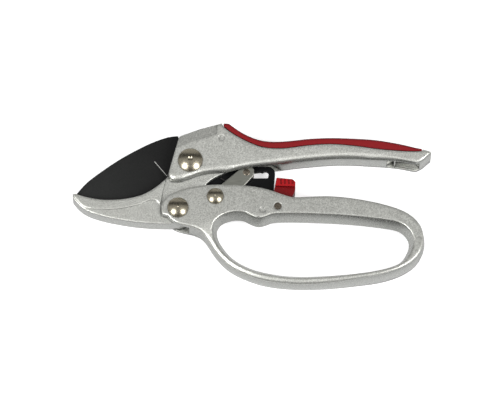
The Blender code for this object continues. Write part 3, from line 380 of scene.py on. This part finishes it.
def pin_steel():
    """Oiled steel of the pins' heads, browner than the plate, with painted shade in tight corners."""
    made = Finish("pin_steel", metallic=1.0)
    film = made.span(made.noise(0.8 * MM, detail=4.0, rough=0.6), (0.35, 0.65))
    toned = made.mix(film, (0.17, 0.14, 0.105), (0.31, 0.275, 0.225))
    # Tight corners are darkened, as painted shade
    colour = made.mix(made.corners(0.5 * MM), (0.01, 0.009, 0.008), toned)
    return made.done(colour, made.span(film, WHOLE, (0.18, 0.30)), made.bump(film, 0.01 * MM, 0.4))


def grip_rubber():
    """Deep red rubber, finely grained on its flat faces, and with rows of dots on its rounded sides."""
    made = Finish("grip_rubber", metallic=0.0, specular=0.2)
    flat = made.faces((0.78, 0.985), made.rounded(1.6 * MM))
    fine = made.span(made.noise(0.5 * MM, detail=3.0, rough=0.7), NOISE_RANGE)
    rows = made.cells(1.3 * MM, "Distance", randomness=0.15, place=made.stretched((1.0, 0.0, 1.0)))
    dots = made.span(rows, (0.15, 0.5))
    top = made.mix(fine, (0.21, 0.009, 0.012), (0.275, 0.012, 0.015))
    side = made.mix(dots, (0.24, 0.010, 0.013), (0.09, 0.004, 0.006))
    roughness = made.span(made.noise(1.2 * MM), NOISE_RANGE, (0.5, 0.68))
    dotted = made.bump(made.maths("MAXIMUM", dots, flat), 0.15 * MM, 0.8, made.rounded(0.5 * MM))
    return made.done(made.mix(flat, side, top), roughness, made.bump(fine, 0.03 * MM, 0.6, dotted))


def latch_plastic():
    """Moulded red plastic with a satin skin, with painted shade toward its pivot, in its grooves and under
    its pad.
    """
    made = Finish("latch_plastic", metallic=0.0, specular=0.3)
    skin = made.span(made.noise(0.5 * MM, detail=3.0), NOISE_RANGE)
    pad = made.mix(skin, (0.31, 0.004, 0.007), (0.42, 0.007, 0.010))
    # The foot's darker red, below the pad, is painted shade
    foot = made.mix(skin, (0.14, 0.001, 0.002), (0.21, 0.002, 0.004))
    pad_and_shaded_foot = made.mix(made.beyond("Y", (9.5 * MM, 11.2 * MM)), foot, pad)
    # Darker where the latch lies close to the handles, as painted shade
    shaded = made.mix(made.corners(7.0 * MM), (0.08, 0.001, 0.002), pad_and_shaded_foot)
    # The grooves are darkened, as painted shade
    groove_shaded = made.mix(made.corners(0.7 * MM), (0.20, 0.002, 0.004), shaded)
    roughness = made.span(made.noise(1.6 * MM), NOISE_RANGE, (0.20, 0.30))
    return made.done(groove_shaded, roughness, made.bump(skin, 0.02 * MM, 0.5, made.rounded(0.45 * MM)))


def dress(names, finish):
    """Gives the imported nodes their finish, and shades them smooth between their edges."""
    for name in names:
        node = nodes[name]
        node.data.materials.clear()
        node.data.materials.append(finish)
        shade(node)


def shade(node):
    """Joins the doubled points, then splits the surface only at its edges."""
    for polygon in node.data.polygons:
        polygon.use_smooth = True
    weld = node.modifiers.new("weld", "WELD")
    weld.merge_threshold = WELD_REACH
    split = node.modifiers.new("split", "EDGE_SPLIT")
    split.split_angle = SPLIT_ANGLE
    weigh = node.modifiers.new("weigh", "WEIGHTED_NORMAL")
    weigh.mode = "FACE_AREA"
    weigh.weight = LARGE_FACE_WEIGHT
    weigh.keep_sharp = True


def add_piece(name, bm, body, finish, replaced=None):
    """A piece that rides a body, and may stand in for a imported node."""
    mesh = bpy.data.meshes.new(name)
    bm.to_mesh(mesh)
    bm.free()
    piece = bpy.data.objects.new(name, mesh)
    bpy.context.collection.objects.link(piece)
    mesh.materials.append(finish)
    for polygon in mesh.polygons:
        polygon.use_smooth = True
    split = piece.modifiers.new("split", "EDGE_SPLIT")
    split.split_angle = SPLIT_ANGLE
    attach(piece, body)
    if replaced:
        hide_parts(replaced)


def turned(profile, centre, sides):
    """A turned mesh from (radius, height) points, which start and end on the axis."""
    bm = bmesh.new()
    rings = []
    for radius, height in profile:
        steps = sides if radius > 0.0 else 1
        angles = [2 * math.pi * step / steps for step in range(steps)]
        spokes = [(radius * math.cos(angle), radius * math.sin(angle)) for angle in angles]
        rings.append([bm.verts.new((centre.x + x, centre.y + y, height)) for x, y in spokes])
    for low, high in zip(rings, rings[1:]):
        for step in range(sides):
            after = (step + 1) % sides
            corners = [low[step % len(low)], low[after % len(low)]]
            corners += [high[after % len(high)], high[step % len(high)]]
            bm.faces.new(list(dict.fromkeys(corners)))
    return bm


def slab(outline, low, high, ease):
    """A plate over an outline in millimetres, between two heights, with its edges eased."""
    bm = bmesh.new()
    under = [bm.verts.new((x * MM, y * MM, low)) for x, y in outline]
    over = [bm.verts.new((x * MM, y * MM, high)) for x, y in outline]
    bm.faces.new(under[::-1])
    bm.faces.new(over)
    for index in range(len(outline)):
        after = (index + 1) % len(outline)
        bm.faces.new((under[index], under[after], over[after], over[index]))
    bmesh.ops.bevel(bm, geom=bm.edges[:], offset=ease, segments=2, profile=0.5, affect="EDGES")
    return bm


def upset_end(shank, bottom):
    """A rivet's rear end, with a shallow cup in it."""
    floor, mouth = CUP_FLOOR * shank, CUP_MOUTH * shank
    cup = [(0.0, bottom + CUP_DEPTH), (floor, bottom + CUP_SHOULDER), (mouth, bottom)]
    return cup + [(shank - UPSET_EASE, bottom), (shank, bottom + UPSET_EASE), (shank, HEAD_SEAT)]


def dome(foot, rim, rise, hollow):
    """A ball's outline from the dome's foot up to the edge of the hollow in its middle."""
    ball = (foot * foot + rise * rise) / (2 * rise)
    radii = [foot + (hollow - foot) * step / DOME_STEPS for step in range(1, DOME_STEPS + 1)]
    return [(radius, rim + rise - ball + math.sqrt(ball * ball - radius * radius)) for radius in radii]


def hollowed(hollow, edge, way):
    """The dimple in the middle of a dome where way is -1, and the pip on it where way is 1."""
    shares = [step / HOLLOW_STEPS for step in range(1, HOLLOW_STEPS + 1)]
    depth = way * HOLLOW_SLOPE * hollow
    return [(hollow * (1.0 - share), edge + depth * (1.0 - (1.0 - share) ** 2)) for share in shares]


def build_rivet(name, body, shank, rise, dimple, finish):
    """A domed rivet on a node's place, with a dimple or a pip in the middle of its head and an upset end."""
    low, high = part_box(name)
    radius = (high.x - low.x) / 2
    profile = upset_end(shank, low.z)
    profile += [(radius - inward * MM, HEAD_SEAT + up * MM) for inward, up in HEAD_EDGE]
    foot, rim = profile[-1]
    profile += dome(foot, rim, rise, abs(dimple))
    profile += hollowed(abs(dimple), profile[-1][1], -1 if dimple > 0 else 1)
    rivet = turned(profile, (low + high) / 2, RIVET_SIDES)
    add_piece(f"{name}_turned", rivet, body, finish, name)


def build_ratchet_pin(finish):
    """The pin between the link's plates, with a low domed head on each."""
    low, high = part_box("ratchet_pin")
    centre = (low + high) / 2
    radius = (high.x - low.x) / 2
    top = (high.z - low.z) / 2
    seat = PLATE_OUTER + PIN_HEAD_GAP
    rise = top - seat - PIN_HEAD_RIM
    half = [(PIN_RADIUS, PLATE_INNER), (PIN_END_RADIUS, PLATE_INNER), (PIN_END_RADIUS, seat), (radius, seat)]
    for step in range(PIN_HEAD_STEPS):
        turn = math.pi / 2 * step / PIN_HEAD_STEPS
        height = seat + PIN_HEAD_RIM + rise * math.sin(turn) ** PIN_HEAD_FLATNESS
        half.append((radius * math.cos(turn), height))
    half.append((0.0, top))
    below = [(across, centre.z - height) for across, height in reversed(half)]
    above = [(across, centre.z + height) for across, height in half]
    pin = turned(below + above, centre, PIN_SIDES)
    add_piece("ratchet_pin_turned", pin, "link", finish, "ratchet_pin")


def build_latch_pin(finish):
    """The latch's pin, wider in the handle's cheeks than in the latch, with a centre mark in front."""
    low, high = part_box("latch_pin")
    radius = (high.x - low.x) / 2
    profile = [(0.0, low.z)]
    profile += [(radius - inward * MM, low.z + up * MM) for inward, up in LATCH_PIN_EASE]
    profile += [(radius, MID_HEIGHT - LATCH_SEAT), (LATCH_SHANK, MID_HEIGHT - LATCH_SEAT),
                (LATCH_SHANK, MID_HEIGHT + LATCH_SEAT), (radius, MID_HEIGHT + LATCH_SEAT)]
    profile += [(radius - inward * MM, high.z - down * MM) for inward, down in LATCH_PIN_FACE]
    profile += [(outward * MM, high.z - down * MM) for outward, down in LATCH_PIN_MARK]
    pin = turned(profile, (low + high) / 2, PIN_SIDES)
    add_piece("latch_pin_turned", pin, "lower", finish, "latch_pin")


def build_loop_mark(finish):
    """A foundry's ejector mark on the finger loop."""
    profile = [(outward * MM, 2 * MID_HEIGHT + up * MM) for outward, up in LOOP_MARK_OUTLINE]
    add_piece("loop_mark", turned(profile, LOOP_MARK, PIN_SIDES), "lower", finish)


def build_tail_details(finish):
    """A rib and a lip in the pocket under the upper handle's tail."""
    rib = slab(TAIL_RIB, POCKET_FLOOR, TAIL_RIB_TOP, TAIL_RIB_EASE)
    lip = slab(TAIL_LIP, POCKET_FLOOR, POCKET_FLOOR + TAIL_LIP_HEIGHT, TAIL_LIP_EASE)
    add_piece("tail_rib", rib, "upper", finish)
    add_piece("tail_lip", lip, "upper", finish)


def build_shears():
    """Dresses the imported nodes, and adds the finer fasteners and the castings' small details."""
    casting = silver_paint("silver_paint", 1.0)
    # A darker copy of the castings' paint, as painted shade on the lower handle
    lower_casting_shaded = silver_paint("silver_paint_lower_shaded", LOWER_PAINTED_SHADE)
    plate = nickel()
    pins = pin_steel()
    dress(("upper_handle", "anvil_jaw"), casting)
    dress(("lower_handle",), lower_casting_shaded)
    dress(("blade",), blade_coating())
    dress([f"{rivet}{end}" for rivet, *_ in RIVETS for end in ("", "_collar")], plate)
    dress(("link_front", "link_rear", "link_spacer", "blade_bush"), plain_steel())
    dress(("ratchet_pin", "latch_pin"), pins)
    dress(("opening_spring",), spring_wire())
    dress(("upper_grip",), grip_rubber())
    dress(("latch",), latch_plastic())
    for rivet in RIVETS:
        build_rivet(*rivet, plate)
    build_ratchet_pin(pins)
    build_latch_pin(pins)
    build_loop_mark(lower_casting_shaded)
    build_tail_details(casting)


def floor_white():
    """White that glows only where the camera sees it or metal mirrors it, and keeps the shears' shadow."""
    material = bpy.data.materials.new("floor_white")
    material.use_nodes = True
    tree = material.node_tree
    tree.nodes.clear()
    diffuse = tree.nodes.new("ShaderNodeBsdfDiffuse")
    diffuse.inputs["Color"].default_value = FLOOR_SHADE
    glow = tree.nodes.new("ShaderNodeEmission")
    paths = tree.nodes.new("ShaderNodeLightPath")
    either = tree.nodes.new("ShaderNodeMath")
    either.operation = "MAXIMUM"
    mirrored = tree.nodes.new("ShaderNodeMath")
    mirrored.operation = "MULTIPLY"
    mirrored.inputs[1].default_value = MIRRORED_GLOW
    shown = tree.nodes.new("ShaderNodeMath")
    shown.operation = "MULTIPLY_ADD"
    shown.inputs[1].default_value = FLOOR_GLOW
    both = tree.nodes.new("ShaderNodeAddShader")
    output = tree.nodes.new("ShaderNodeOutputMaterial")
    tree.links.new(paths.outputs["Is Glossy Ray"], either.inputs[0])
    tree.links.new(paths.outputs["Is Transmission Ray"], either.inputs[1])
    tree.links.new(either.outputs[0], mirrored.inputs[0])
    tree.links.new(paths.outputs["Is Camera Ray"], shown.inputs[0])
    tree.links.new(mirrored.outputs[0], shown.inputs[2])
    tree.links.new(shown.outputs[0], glow.inputs["Strength"])
    tree.links.new(diffuse.outputs[0], both.inputs[0])
    tree.links.new(glow.outputs[0], both.inputs[1])
    tree.links.new(both.outputs[0], output.inputs["Surface"])
    return material


def build_floor():
    """A plain square floor under the shears."""
    sides = ((-1, -1), (1, -1), (1, 1), (-1, 1))
    corners = [(x * FLOOR_HALF, y * FLOOR_HALF, -FLOOR_DROP) for x, y in sides]
    mesh = bpy.data.meshes.new("floor")
    mesh.from_pydata(corners, [], [(0, 1, 2, 3)])
    mesh.materials.append(floor_white())
    floor = bpy.data.objects.new("floor", mesh)
    bpy.context.collection.objects.link(floor)


def build_room():
    """A dim room, shaded along y, with a dark band beyond the ceiling's middle and a paler backdrop."""
    world = bpy.data.worlds.new("room")
    bpy.context.scene.world = world
    world.use_nodes = True
    tree = world.node_tree
    background = tree.nodes["Background"]
    place = tree.nodes.new("ShaderNodeTexCoord")
    parts = tree.nodes.new("ShaderNodeSeparateXYZ")
    lean = tree.nodes.new("ShaderNodeMapRange")
    lean.inputs["From Min"].default_value = -1.0
    ramp = tree.nodes.new("ShaderNodeValToRGB")
    stops = ramp.color_ramp.elements
    while len(stops) < len(ROOM_SHADES):
        stops.new(0.5)
    for stop, (along, brightness) in zip(stops, ROOM_SHADES):
        stop.position = (along + 1.0) / 2.0
        stop.color = (brightness, brightness, brightness, 1.0)
    tree.links.new(place.outputs["Generated"], parts.inputs[0])
    tree.links.new(parts.outputs["Y"], lean.inputs["Value"])
    tree.links.new(lean.outputs["Result"], ramp.inputs["Fac"])
    tree.links.new(ramp.outputs["Color"], background.inputs["Color"])


def add_light(name, place):
    """A large round soft light aimed at the shears."""
    data = bpy.data.lights.new(name, "AREA")
    data.shape = "DISK"
    data.energy = LIGHT_POWER
    data.size = LIGHT_SIZE
    light = bpy.data.objects.new(name, data)
    bpy.context.collection.objects.link(light)
    light.location = place
    light.rotation_euler = (-Vector(place)).to_track_quat("-Z", "Y").to_euler()


def build_light():
    """Two large soft lights at the sides, in a dim room."""
    build_room()
    across, along, height = LIGHT_PLACE
    add_light("left", (-across, along, height))
    add_light("right", (across, along, height))


def add_camera():
    """The photograph's view: from the finger loop's side, steeply down."""
    data = bpy.data.cameras.new("camera")
    data.lens = CAMERA_LENS
    camera = bpy.data.objects.new("camera", data)
    bpy.context.collection.objects.link(camera)
    back = Vector((0.0, -math.cos(CAMERA_ELEVATION), math.sin(CAMERA_ELEVATION)))
    camera.location = CAMERA_TARGET + back * CAMERA_DISTANCE
    camera.rotation_euler = (-back).to_track_quat("-Z", "Y").to_euler()
    bpy.context.scene.camera = camera


def main():
    build_shears()
    build_floor()
    build_light()
    add_camera()
    bpy.context.scene.view_settings.view_transform = "Standard"


main()
